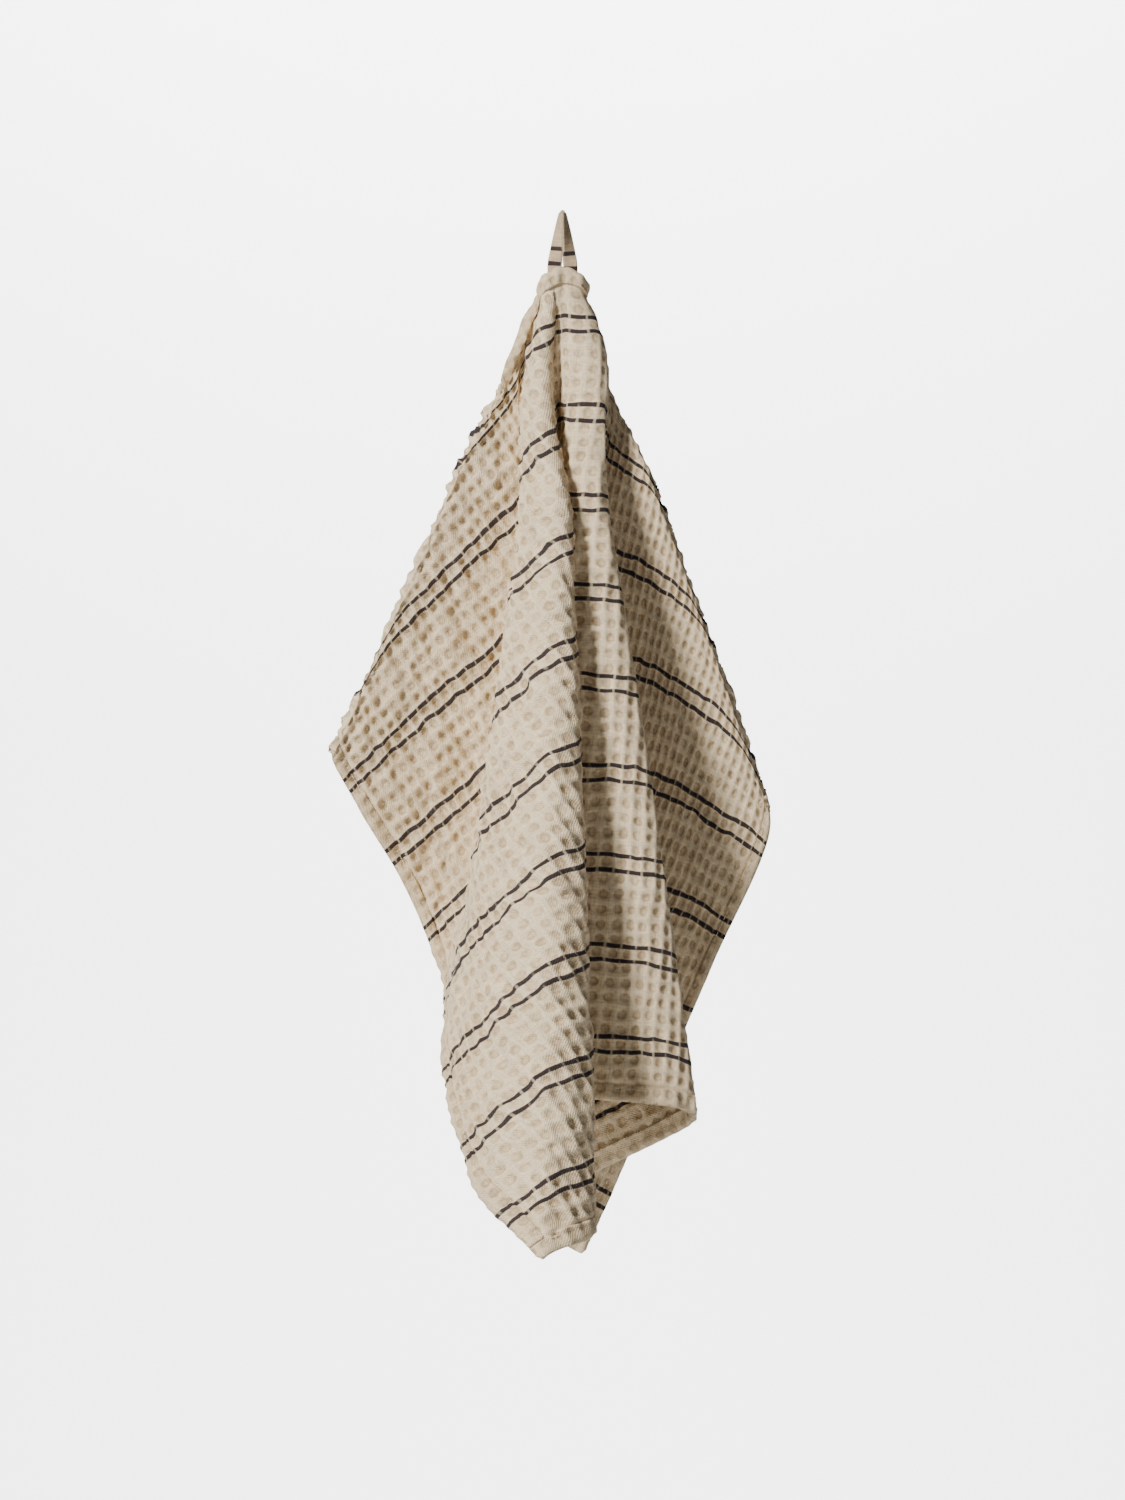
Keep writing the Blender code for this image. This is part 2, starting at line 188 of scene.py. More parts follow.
def monotone_curve(knots: Iterable[float], values: Iterable[float]) -> Curve:
    """A smooth curve through values at knots that never overshoots them.

    Args:
        knots: Places along the curve, in rising order.
        values: The curve's height at each knot.

    Returns:
        A function from places to heights.
    """
    knots = np.asarray(list(knots), float)
    values = np.asarray(list(values), float)
    steps = np.diff(knots)
    slopes = np.diff(values) / steps
    tangents = np.zeros(len(knots))
    tangents[0] = slopes[0]
    tangents[-1] = slopes[-1]
    for i in range(1, len(knots) - 1):
        if slopes[i - 1] * slopes[i] > 0:
            before = 2 * steps[i] + steps[i - 1]
            after = steps[i] + 2 * steps[i - 1]
            tangents[i] = (before + after) / (before / slopes[i - 1] + after / slopes[i])

    def evaluate(at: np.ndarray) -> np.ndarray:
        """The curve's height.

        Args:
            at: Places along the curve.

        Returns:
            The height at each place.
        """
        at = np.clip(at, knots[0], knots[-1])
        index = np.clip(np.searchsorted(knots, at) - 1, 0, len(steps) - 1)
        width = steps[index]
        t = (at - knots[index]) / width
        return (
            values[index] * (1 + 2 * t) * (1 - t) ** 2
            + tangents[index] * width * t * (1 - t) ** 2
            + values[index + 1] * t * t * (3 - 2 * t)
            + tangents[index + 1] * width * t * t * (t - 1)
        )

    return evaluate


def unit(vectors: np.ndarray) -> np.ndarray:
    """The vectors at length 1."""
    return vectors / np.linalg.norm(vectors, axis=-1, keepdims=True)


@dataclass(frozen=True)
class SoftNoise:
    """Smooth seeded noise over the flat cloth, from about -1 to 1, with its grain's two sizes.

    Its lattice spans more than the cloth, and starts a little above the loop's edge of it.
    """

    seed: int
    size_u: float
    size_v: float
    span: float = 0.8
    above: float = 0.1
    lead: int = 2
    spare: int = 6
    gain: float = 2.1

    def at(self, u: np.ndarray, v: np.ndarray) -> np.ndarray:
        """The noise at flat places.

        Args:
            u, v: Flat places, across and down.

        Returns:
            One value for each place.
        """
        rows = int(self.span / self.size_v) + self.spare
        columns = int(self.span / self.size_u) + self.spare
        lattice = np.random.default_rng(self.seed).uniform(-1, 1, (rows, columns)) * self.gain
        x = (np.asarray(u, float) + self.span / 2) / self.size_u + self.lead
        y = (np.asarray(v, float) + self.above) / self.size_v + self.lead
        left = np.clip(np.floor(x).astype(int), 1, columns - 3)
        low = np.clip(np.floor(y).astype(int), 1, rows - 3)
        across = self._weights(x - left)
        along = self._weights(y - low)
        total = np.zeros(np.broadcast(x, y).shape)
        for i in range(4):
            for j in range(4):
                total += along[i] * across[j] * lattice[low + i - 1, left + j - 1]
        return total

    @staticmethod
    def _weights(t: np.ndarray) -> list[np.ndarray]:
        """The weights of a cubic spline between lattice points.

        Args:
            t: How far on each place lies from its lattice point, from 0 to 1.

        Returns:
            The shares of the four nearest lattice points.
        """
        return [
            (1 - t) ** 3 / 6,
            (3 * t**3 - 6 * t**2 + 4) / 6,
            (-3 * t**3 + 3 * t**2 + 3 * t + 1) / 6,
            t**3 / 6,
        ]


@dataclass
class Drape:
    """Carries points of the flat cloth onto the pleated cone that hangs below the loop."""

    cut: ClothCut
    gather_rise: float = 0.012
    gather_spread: float = 0.011
    gather_spread_reach: float = 0.150
    collar_end: float = 0.018
    throat_start: float = 0.045
    throat_end: float = 0.050
    waist_start: float = 0.170
    waist_end: float = 0.230
    skirt_start: float = 0.560
    hinge_gap: float = 0.0004
    trim: float = 0.0
    balance_columns: int = 141
    balance_rows: int = 101
    balance_passes: int = 5
    slope_step: float = 0.0004

    def __post_init__(self) -> None:
        """Makes the curves between the fold lines, and balances the towel under its hinge."""
        flat = [line.flat for line in FOLD_LINES]
        swings = zip(*(line.swing for line in FOLD_LINES))
        leans = zip(*(line.lean for line in FOLD_LINES))
        self.swings = [monotone_curve(flat, swing) for swing in swings]
        self.leans = [monotone_curve(flat, lean) for lean in leans]
        self.reach = monotone_curve(flat, [line.reach for line in FOLD_LINES])
        collar = list(zip(*COLLAR_CURVE))
        self.collar_swing = monotone_curve(collar[0], collar[1])
        self.collar_lean = monotone_curve(collar[0], collar[2])
        self._balance()

    def fan(self, u: np.ndarray, v: np.ndarray) -> Grid:
        """Distance from the gather in metres and fan angle in degrees, at the flat places u, v."""
        below = np.asarray(v, float) + self.gather_rise
        return np.hypot(u, below), np.degrees(np.arctan2(u, below))

    def point(self, u: np.ndarray, v: np.ndarray) -> np.ndarray:
        """World places of the cloth's middle layer.

        Args:
            u, v: Flat places, across and down.

        Returns:
            World places, one for each flat place.
        """
        radius, flat = self.fan(u, v)
        to_throat = smooth_step(radius, self.collar_end, self.throat_start)
        to_waist = smooth_step(radius, self.throat_end, self.waist_start)
        to_skirt = smooth_step(radius, self.waist_end, self.skirt_start)
        shares = (1 - to_waist, to_waist * (1 - to_skirt), to_waist * to_skirt)
        swing = sum(share * curve(flat) for share, curve in zip(shares, self.swings))
        lean = sum(share * curve(flat) for share, curve in zip(shares, self.leans))
        lean = lean + self.trim * to_waist
        swing = self.collar_swing(flat) * (1 - to_throat) + swing * to_throat
        lean = self.collar_lean(flat) * (1 - to_throat) + lean * to_throat
        length = radius * (1 + (self.reach(flat) - 1) * to_waist)
        spread = self.gather_spread * np.exp(-((radius / self.gather_spread_reach) ** 2))
        swing = np.radians(swing)
        lean = np.radians(lean)
        x = (length + spread) * np.sin(swing) * np.cos(lean)
        y = -(length + spread) * np.sin(lean)
        z = HINGE[2] + self.gather_rise - self.hinge_gap - length * np.cos(swing) * np.cos(lean)
        return np.stack([x, y, z], axis=-1)

    def normal(self, u: np.ndarray, v: np.ndarray) -> np.ndarray:
        """Unit normals out of the cloth's front face.

        Args:
            u, v: Flat places, across and down.

        Returns:
            One normal for each flat place.
        """
        step = self.slope_step
        along_u = self.point(u + step, v) - self.point(u - step, v)
        along_v = self.point(u, v + step) - self.point(u, v - step)
        return unit(np.cross(along_v, along_u))

    def _balance(self) -> None:
        """Leans the folds until the cloth's centre of mass lies under the hinge."""
        u, v = np.meshgrid(
            np.linspace(-self.cut.half, self.cut.half, self.balance_columns),
            np.linspace(0, self.cut.drop, self.balance_rows),
        )
        for _ in range(self.balance_passes):
            points = self.point(u, v)
            down = points[1:, :-1] - points[:-1, :-1]
            across = points[:-1, 1:] - points[:-1, :-1]
            area = np.linalg.norm(np.cross(down, across), axis=-1)[..., None]
            middle = (points[1:, 1:] + points[:-1, :-1]) / 2
            centre = (middle * area).sum(axis=(0, 1)) / area.sum()
            self.trim += math.degrees(math.atan2(centre[1], HINGE[2] - centre[2]))


# ---- The weave and its crinkle ----


@dataclass(frozen=True)
class WaffleWeave:
    """The waffle cells, their ridges and the stripe pairs, in the flat cloth's own places."""

    cell: float = 0.009
    border_u: float = 0.0045
    border_v: float = 0.0025
    steps_in_cell: tuple[float, ...] = (0.0, 0.16, 0.38, 0.62, 0.84)
    least_step: float = 0.06
    ridge_height: float = 0.0023
    cloth_half: float = 0.00045
    pit_floor: float = 0.22
    ridge_top: float = 0.98
    roundness: float = 2.6
    hem_pressed: float = 0.0035
    first_pair: float = 0.034
    pair_pitch: float = 0.054
    pair_half: float = 0.0045

    def lines(self, start: float, end: float, border: float) -> np.ndarray:
        """Places of the mesh's lines between two edges, with one on every ridge.

        Args:
            start: Flat place of the first edge.
            end: Flat place of the last edge.
            border: Flat place of any one ridge.

        Returns:
            Rising places, both edges included.
        """
        first = math.floor((start - border) / self.cell)
        last = math.ceil((end - border) / self.cell)
        cells = (np.arange(first, last + 1)[:, None] + np.array(self.steps_in_cell)).ravel()
        every = cells * self.cell + border
        clear = self.cell * self.least_step
        inside = (every > start + clear) & (every < end - clear)
        return np.concatenate([[start], every[inside], [end]])

    def relief(self, u: np.ndarray, v: np.ndarray, shift: float = 0.0) -> np.ndarray:
        """Height of the waffle on one face.

        Args:
            u, v: Flat places, across and down.
            shift: Cells by which the face's grid is moved.

        Returns:
            0 in a pit and 1 on a ridge.
        """
        across = self._to_border((u - self.border_u) / self.cell + shift)
        along = self._to_border((v - self.border_v) / self.cell + shift)
        out = (across**self.roundness + along**self.roundness) ** (1 / self.roundness)
        return smooth_step(out, self.pit_floor, self.ridge_top)

    @staticmethod
    def _to_border(cells: np.ndarray) -> np.ndarray:
        """0 in the middle of a cell and 1 on its border."""
        return np.abs(cells - np.floor(cells) - 0.5) * 2


@dataclass(frozen=True)
class Crinkle:
    """The pucker of washed waffle cloth: wandering rows, lumps and long wrinkles down the drop."""

    wander: float = 0.0007
    lump: float = 0.0009
    wrinkle: float = 0.0013
    wave: float = 0.0011
    ridge_change: float = 0.45
    least: float = 0.30
    shallow: tuple[float, float] = (28.0, 34.0)
    slow_share: float = 0.7
    slow_across: SoftNoise = SoftNoise(11, 0.016, 0.014)
    fast_across: SoftNoise = SoftNoise(12, 0.0060, 0.0065)
    slow_along: SoftNoise = SoftNoise(13, 0.014, 0.016)
    fast_along: SoftNoise = SoftNoise(14, 0.0055, 0.0060)
    lumps: SoftNoise = SoftNoise(21, 0.0046, 0.0054)
    wrinkles: SoftNoise = SoftNoise(22, 0.0042, 0.0130)
    waves: SoftNoise = SoftNoise(23, 0.034, 0.060)
    ridges: SoftNoise = SoftNoise(31, 0.0045, 0.0045)

    def amount(self, angle: np.ndarray) -> np.ndarray:
        """How much the cloth crinkles at a fan angle: most in the front panel and left wing."""
        return self.least + (1 - self.least) * smooth_step(-angle, *self.shallow)

    def wandered(self, u: np.ndarray, v: np.ndarray) -> Grid:
        """The flat places that the threads of u, v wander to.

        Args:
            u, v: Flat places, across and down.

        Returns:
            The new places across and down.
        """
        across = self.slow_share * self.slow_across.at(u, v) + self.fast_across.at(u, v)
        along = self.slow_share * self.slow_along.at(u, v) + self.fast_along.at(u, v)
        return u + across * self.wander, v + along * self.wander

    def lift(self, u: np.ndarray, v: np.ndarray, amount: np.ndarray) -> np.ndarray:
        """How far the crinkle pushes the cloth out of its drape.

        Args:
            u, v: Flat places, across and down.
            amount: How much the cloth crinkles there.

        Returns:
            Distances out of the front face, in metres.
        """
        lumps = self.lumps.at(u, v) * self.lump
        wrinkles = self.wrinkles.at(u, v) * self.wrinkle
        return (lumps + wrinkles) * amount + self.waves.at(u, v) * self.wave

    def ridge(self, u: np.ndarray, v: np.ndarray, amount: np.ndarray) -> np.ndarray:
        """How tall a ridge stands at the flat places u, v, as a share of its usual height."""
        return 1 + self.ridge_change * amount * self.ridges.at(u, v)


# ---- Meshes ----


def add_object(name: str, data: bpy.types.ID) -> bpy.types.Object:
    """Makes an object and puts it in the scene.

    Args:
        name: Its name.
        data: The mesh, lamp or camera that it holds.

    Returns:
        The object.
    """
    made = bpy.data.objects.new(name, data)
    bpy.context.scene.collection.objects.link(made)
    return made


@dataclass
class MeshParts:
    """Vertices, faces, flat places and bake places of one piece while it is being made."""

    points: list[np.ndarray] = field(default_factory=list)
    places: list[np.ndarray] = field(default_factory=list)
    faces: list[np.ndarray] = field(default_factory=list)
    maps: list[np.ndarray] = field(default_factory=list)
    count: int = 0

    def add(
        self, points: np.ndarray, places: np.ndarray, faces: np.ndarray, maps: np.ndarray
    ) -> None:
        """Adds one closed surface.

        Args:
            points: World places, one row each.
            places: The flat place and side of each point.
            faces: Corners of each face, as rows of four.
            maps: Bake place of each corner, as rows of four pairs.
        """
        self.points.append(points)
        self.places.append(places)
        self.faces.append(faces + self.count)
        self.maps.append(maps)
        self.count += len(points)

    def build(self, name: str) -> bpy.types.Object:
        """Makes the object, shaded smooth, with its flat places and its bake map.

        Args:
            name: Its name.

        Returns:
            The object.
        """
        points = np.concatenate(self.points)
        faces = np.concatenate(self.faces)
        maps = np.concatenate(self.maps)
        mesh = bpy.data.meshes.new(name)
        mesh.vertices.add(len(points))
        mesh.vertices.foreach_set("co", points.astype(np.float32).ravel())
        mesh.loops.add(faces.size)
        mesh.loops.foreach_set("vertex_index", faces.astype(np.int32).ravel())
        mesh.polygons.add(len(faces))
        mesh.polygons.foreach_set("loop_start", np.arange(0, faces.size, 4, dtype=np.int32))
        mesh.update(calc_edges=True)
        mesh.validate()
        places = mesh.attributes.new(PLACE, "FLOAT_VECTOR", "POINT")
        places.data.foreach_set("vector", np.concatenate(self.places).astype(np.float32).ravel())
        layer = mesh.uv_layers.new(name=BAKE_MAP)
        layer.uv.foreach_set("vector", maps.astype(np.float32).ravel())
        mesh.shade_smooth()
        return add_object(name, mesh)


def grid_faces(rows: int, columns: int) -> np.ndarray:
    """Corners of the faces of a grid of points.

    Args:
        rows: How many rows of points.
        columns: How many points to a row.

    Returns:
        Rows of four corners, each turned down the rows and then across.
    """
    index = np.arange(rows * columns).reshape(rows, columns)
    corners = (index[:-1, :-1], index[1:, :-1], index[1:, 1:], index[:-1, 1:])
    return np.stack([c.ravel() for c in corners], axis=1)


def box_map(rows: int, columns: int, low: Pair, high: Pair) -> np.ndarray:
    """Bake places of a grid's faces.

    Args:
        rows: How many rows of points.
        columns: How many points to a row.
        low: Lowest corner of the grid's rectangle in the bake map.
        high: Highest corner of that rectangle.

    Returns:
        The four bake places of each face.
    """
    across, down = np.meshgrid(
        np.linspace(low[0], high[0], columns), np.linspace(low[1], high[1], rows)
    )
    flat = np.stack([across.ravel(), down.ravel()], axis=1)
    return flat[grid_faces(rows, columns)]


def shell(front: np.ndarray, back: np.ndarray, u: np.ndarray, v: np.ndarray) -> MeshParts:
    """A closed sheet from its front and back grids.

    Args:
        front: World places of the front face, as rows and columns.
        back: World places of the back face, likewise.
        u, v: Flat places, across and down.

    Returns:
        The sheet, with the front's bake map below the back's.
    """
    rows, columns = u.shape
    size = rows * columns
    top = np.stack([u, v, np.zeros_like(u)], axis=-1).reshape(-1, 3)
    under = np.stack([u, v, np.ones_like(u)], axis=-1).reshape(-1, 3)
    faces = grid_faces(rows, columns)
    index = np.arange(size).reshape(rows, columns)
    rim = np.concatenate([index[0, :-1], index[:-1, -1], index[-1, :0:-1], index[:0:-1, 0]])
    onward = np.roll(rim, -1)
    edge = np.stack([rim, onward, onward + size, rim + size], axis=1)
    share = np.linspace(MAP_LOW, MAP_HIGH, len(rim) + 1)
    ends = (
        (share[:-1], RIM_MAP_LOW),
        (share[1:], RIM_MAP_LOW),
        (share[1:], RIM_MAP_HIGH),
        (share[:-1], RIM_MAP_HIGH),
    )
    strip = np.stack([np.stack([x, np.full(len(rim), y)], axis=1) for x, y in ends], axis=1)
    parts = MeshParts()
    parts.add(
        np.concatenate([front.reshape(-1, 3), back.reshape(-1, 3)]),
        np.concatenate([top, under]),
        np.concatenate([faces, faces[:, ::-1] + size, edge]),
        np.concatenate(
            [
                box_map(rows, columns, (MAP_LOW, MAP_LOW), (MAP_HIGH, FRONT_MAP_TOP)),
                box_map(rows, columns, (MAP_LOW, BACK_MAP_FOOT), (MAP_HIGH, MAP_HIGH))[:, ::-1],
                strip,
            ]
        ),
    )
    return parts


def tube(
    rings: np.ndarray,
    places: np.ndarray,
    low: Pair = (MAP_LOW, MAP_LOW),
    high: Pair = (MAP_HIGH, MAP_HIGH),
    cap_share: float = 0.02,
    cap_fill: float = 0.8,
) -> tuple[np.ndarray, np.ndarray, np.ndarray, np.ndarray]:
    """A closed tube through rings of points, capped at both ends.

    Args:
        rings: World places, one ring to a row.
        places: Flat place and side of each point.
        low: Lowest corner of its rectangle in the bake map.
        high: Highest corner of that rectangle.
        cap_share: Share of the rectangle's width that each cap has.
        cap_fill: Share of that which the cap's faces take.

    Returns:
        Points, places, faces and bake places, ready for MeshParts.add.
    """
    count, around = rings.shape[:2]
    ends = np.stack([rings[0].mean(axis=0), rings[-1].mean(axis=0)])
    end_places = np.stack([places[0].mean(axis=0), places[-1].mean(axis=0)])
    index = np.arange(count * around).reshape(count, around)
    wrapped = np.concatenate([index, index[:, :1]], axis=1)
    corners = (wrapped[:-1, :-1], wrapped[:-1, 1:], wrapped[1:, 1:], wrapped[1:, :-1])
    faces = np.stack([c.ravel() for c in corners], axis=1)
    cap_width = (high[0] - low[0]) * cap_share
    body = box_map(count, around + 1, low, high)[:, [0, 3, 2, 1]]
    body[..., 0] = low[0] + cap_width + (body[..., 0] - low[0]) * (1 - 2 * cap_share)
    caps, cap_maps = [], []
    levels = np.linspace(low[1], high[1], around + 1)
    for hub, row, edge, way in ((0, index[0], low[0], 1), (1, index[-1], high[0], -1)):
        inner = edge + cap_width * cap_fill * way
        for k in range(0, around, 2):
            trio = [row[(k + i) % around] for i in range(3)]
            spots = [(inner, levels[k + i]) for i in range(3)]
            caps.append([count * around + hub, *trio[::-way]])
            cap_maps.append([(edge, levels[k + 1]), *spots[::-way]])
    return (
        np.concatenate([rings.reshape(-1, 3), ends]),
        np.concatenate([places.reshape(-1, 3), end_places]),
        np.concatenate([faces, np.array(caps)]),
        np.concatenate([body, np.array(cap_maps)]),
    )


# ---- Finishes ----


class Wire:
    """A number that runs through a node tree, with sums that add the nodes for them."""

    def __init__(self, tree: bpy.types.NodeTree, socket: bpy.types.NodeSocket) -> None:
        """Holds the tree and the socket that the number comes from."""
        self.tree = tree
        self.socket = socket

    def sum(self, operation: str, *others: "Wire | float", clamp: bool = False) -> "Wire":
        """A math node on this number and the others.

        Args:
            operation: The node's operation.
            others: The other numbers, fixed or wired.
            clamp: Whether the result is held between 0 and 1.

        Returns:
            The result.
        """
        node = self.tree.nodes.new("ShaderNodeMath")
        node.operation = operation
        node.use_clamp = clamp
        for socket, value in zip(node.inputs, (self, *others)):
            if isinstance(value, Wire):
                self.tree.links.new(value.socket, socket)
            else:
                socket.default_value = value
        return Wire(self.tree, node.outputs[0])

    def __add__(self, other: "Wire | float") -> "Wire":
        """This number plus the other."""
        return self.sum("ADD", other)

    def __sub__(self, other: "Wire | float") -> "Wire":
        """This number less the other."""
        return self.sum("SUBTRACT", other)

    def __mul__(self, other: "Wire | float") -> "Wire":
        """This number times the other."""
        return self.sum("MULTIPLY", other)

    def ramp(self, start: float, end: float, low: float = 0.0, high: float = 1.0) -> "Wire":
        """A smooth ramp on this number.

        Args:
            start: Where the ramp starts.
            end: Where it ends.
            low: Its height up to start.
            high: Its height from end on.

        Returns:
            The ramp's height.
        """
        node = self.tree.nodes.new("ShaderNodeMapRange")
        node.interpolation_type = "SMOOTHSTEP"
        self.tree.links.new(self.socket, node.inputs["Value"])
        limits = {"From Min": start, "From Max": end, "To Min": low, "To Max": high}
        for name, value in limits.items():
            node.inputs[name].default_value = value
        return Wire(self.tree, node.outputs["Result"])

    def from_line(self, spacing: float, offset: float) -> "Wire":
        """Distance to the nearest of some evenly spaced lines, one of them at offset."""
        shifted = self.sum("ADD", spacing / 2 - offset).sum("FLOORED_MODULO", spacing)
        return shifted.sum("SUBTRACT", spacing / 2).sum("ABSOLUTE")


class GroupMaker:
    """Builds one shader node group, with its named inputs and outputs."""

    def __init__(self, name: str, inputs: dict[str, str], outputs: dict[str, str]) -> None:
        """Makes the empty group.

        Args:
            name: The group's name.
            inputs: Socket type of each named input.
            outputs: Socket type of each named output.
        """
        self.tree = bpy.data.node_groups.new(name, "ShaderNodeTree")
        for label, kind in inputs.items():
            self.tree.interface.new_socket(label, in_out="INPUT", socket_type=kind)
        for label, kind in outputs.items():
            self.tree.interface.new_socket(label, in_out="OUTPUT", socket_type=kind)
        self.source = self.tree.nodes.new("NodeGroupInput")
        self.sink = self.tree.nodes.new("NodeGroupOutput")

    def given(self, name: str) -> Wire:
        """A named input as a number."""
        return Wire(self.tree, self.source.outputs[name])

    def give(self, name: str, wire: Wire) -> None:
        """Leads a number to a named output."""
        self.tree.links.new(wire.socket, self.sink.inputs[name])

    def split(self, vector: Wire) -> list[Wire]:
        """The parts of a vector.

        Args:
            vector: The vector.

        Returns:
            Its three parts.
        """
        node = self.tree.nodes.new("ShaderNodeSeparateXYZ")
        self.tree.links.new(vector.socket, node.inputs[0])
        return [Wire(self.tree, socket) for socket in node.outputs]

    def join(self, x: Wire, y: Wire, z: Wire) -> Wire:
        """A vector of three numbers.

        Args:
            x: Its first part.
            y: Its second part.
            z: Its third part.

        Returns:
            The vector.
        """
        node = self.tree.nodes.new("ShaderNodeCombineXYZ")
        for wire, socket in zip((x, y, z), node.inputs):
            self.tree.links.new(wire.socket, socket)
        return Wire(self.tree, node.outputs[0])

    def noise(self, vector: Wire, scale: float, detail: float = 2.0) -> Wire:
        """Soft noise around 0.

        Args:
            vector: Where to read it.
            scale: Grains to the metre.
            detail: How many finer layers lie on it.

        Returns:
            A number from about -0.5 to 0.5.
        """
        node = self.tree.nodes.new("ShaderNodeTexNoise")
        node.inputs["Scale"].default_value = scale
        node.inputs["Detail"].default_value = detail
        self.tree.links.new(vector.socket, node.inputs["Vector"])
        return Wire(self.tree, node.outputs[0]) - 0.5

    def mix(self, share: Wire, first: Wire, second: Wire) -> Wire:
        """Two colours mixed by a share.

        Args:
            share: 0 for the first colour, 1 for the second.
            first: The first colour.
            second: The second colour.

        Returns:
            The mixed colour.
        """
        node = self.tree.nodes.new("ShaderNodeMix")
        node.data_type = "RGBA"
        sockets = {socket.identifier: socket for socket in (*node.inputs, *node.outputs)}
        self.tree.links.new(share.socket, node.inputs["Factor"])
        self.tree.links.new(first.socket, sockets["A_Color"])
        self.tree.links.new(second.socket, sockets["B_Color"])
        return Wire(self.tree, sockets["Result_Color"])


class SharedGroup(Enum):
    """The effects that more than one finish uses."""

    THREADS = "spun_threads"
    WAFFLE = "waffle_and_stripes"


@dataclass(frozen=True)
class ThreadLook:
    """Grain of the spun threads: grains to the metre, and shares of the tone and the height."""

    across_thread: float = 1000.0
    along_thread: float = 130.0
    blotches: float = 34.0
    fuzz: float = 640.0
    fuzz_detail: float = 3.0
    fuzz_tone: float = 0.42
    weave_pitch: float = 0.00085
    weave_height: float = 0.35
    thread_height: float = 0.5


@dataclass(frozen=True)
class WaffleLook:
    """How the waffle and stripes are drawn: grains to the metre, and distances in metres."""

    drift_grain: float = 420.0
    drift: float = 0.0011
    ragged_grain: float = 1500.0
    ragged: float = 0.0006
    # Painted shade in the pits: the next four settings give its random patches, its lighter middle
    # and its dark ring.
    pit_shade_patch_grain: float = 130.0
    pit_shade_patches: tuple[float, ...] = (-0.22, 0.16, 0.25, 1.0)
    pit_shade_middle: tuple[float, ...] = (0.0008, 0.0022, 0.34, 0.0)
    pit_shade_mask: tuple[float, ...] = (0.0022, 0.0037, 1.0, 0.0)
    line: tuple[float, ...] = (0.0010, 0.0017, 1.0, 0.0)
    over: tuple[float, ...] = (0.0003, 0.0011, 1.0, 0.0)
    lifted_grain: float = 95.0
    lifted: tuple[float, ...] = (-0.16, 0.10)
    gap: float = -0.5


def make_thread_group(look: ThreadLook) -> bpy.types.NodeTree:
    """Fine woven threads with slubs and soft blotches.

    Args:
        look: The threads' grain.

    Returns:
        A group that gives a tone around 0 and a height.
    """
    group = GroupMaker(
        SharedGroup.THREADS.value,
        {"Place": "NodeSocketVector", "Slub": "NodeSocketFloat", "Blotch": "NodeSocketFloat"},
        {"Tone": "NodeSocketFloat", "Height": "NodeSocketFloat"},
    )
    place = group.given("Place")
    u, v, side = group.split(place)
    warp = group.noise(group.join(u * look.across_thread, v * look.along_thread, side), 1.0)
    weft = group.noise(group.join(u * look.along_thread, v * look.across_thread, side), 1.0)
    blotch = group.noise(place, look.blotches)
    fuzz = group.noise(place, look.fuzz, look.fuzz_detail)
    slub = (warp + weft) * group.given("Slub")
    group.give("Tone", slub + blotch * group.given("Blotch") + fuzz * look.fuzz_tone)
    turns = math.pi / look.weave_pitch
    over = (u * turns).sum("SINE") * (v * turns).sum("SINE")
    threads = warp * look.thread_height + weft * look.thread_height + fuzz * look.thread_height
    group.give("Height", over * look.weave_height + threads)
    return group.tree


def make_waffle_group(weave: WaffleWeave, look: WaffleLook) -> bpy.types.NodeTree:
    """The waffle's ridges, the painted shade in its pits and the dashed stripe pairs.

    Args:
        weave: Where the cells and the stripes lie.
        look: How they are drawn.

    Returns:
        A group that gives the cloth's colour, with painted shade in the pits.
    """
    group = GroupMaker(
        SharedGroup.WAFFLE.value,
        {
            "Place": "NodeSocketVector",
            "Ridge": "NodeSocketColor",
            "Pit": "NodeSocketColor",
            "Stripe": "NodeSocketColor",
            "Relief": "NodeSocketFloat",
        },
        {"Color": "NodeSocketColor"},
    )
    place = group.given("Place")
    u, v, side = group.split(place)
    half = weave.cell / 2
    drift = group.noise(place, look.drift_grain) * look.drift
    ragged = group.noise(place, look.ragged_grain) * look.ragged
    shift = side * half
    across = (u + drift + shift).from_line(weave.cell, weave.border_u + half)
    along = (v + drift + shift).from_line(weave.cell, weave.border_v + half)
    out = (across * across + along * along).sum("SQRT")
    # Painted shade: each pit is darkened towards the pit colour in a ring round its middle, less
    # in the middle, in random patches.
    pit_shade_patches = group.noise(place, look.pit_shade_patch_grain).ramp(*look.pit_shade_patches)
    pit_shade_mask = (out.ramp(*look.pit_shade_mask) - out.ramp(*look.pit_shade_middle)) * pit_shade_patches
    pit_shade_mask = pit_shade_mask.sum("MULTIPLY", group.given("Relief"), clamp=True)
    ground = group.mix(pit_shade_mask, group.given("Ridge"), group.given("Pit"))
    pair = (v + ragged).from_line(weave.pair_pitch, weave.first_pair)
    line = (pair - weave.pair_half).sum("ABSOLUTE").ramp(*look.line)
    over = (u + drift).from_line(weave.cell, weave.border_u).ramp(*look.over)
    lifted = group.noise(place, look.lifted_grain).ramp(*look.lifted)
    stripes = line * (over * lifted).sum("MULTIPLY_ADD", look.gap, 1.0)
    group.give("Color", group.mix(stripes, ground, group.given("Stripe")))
    return group.tree


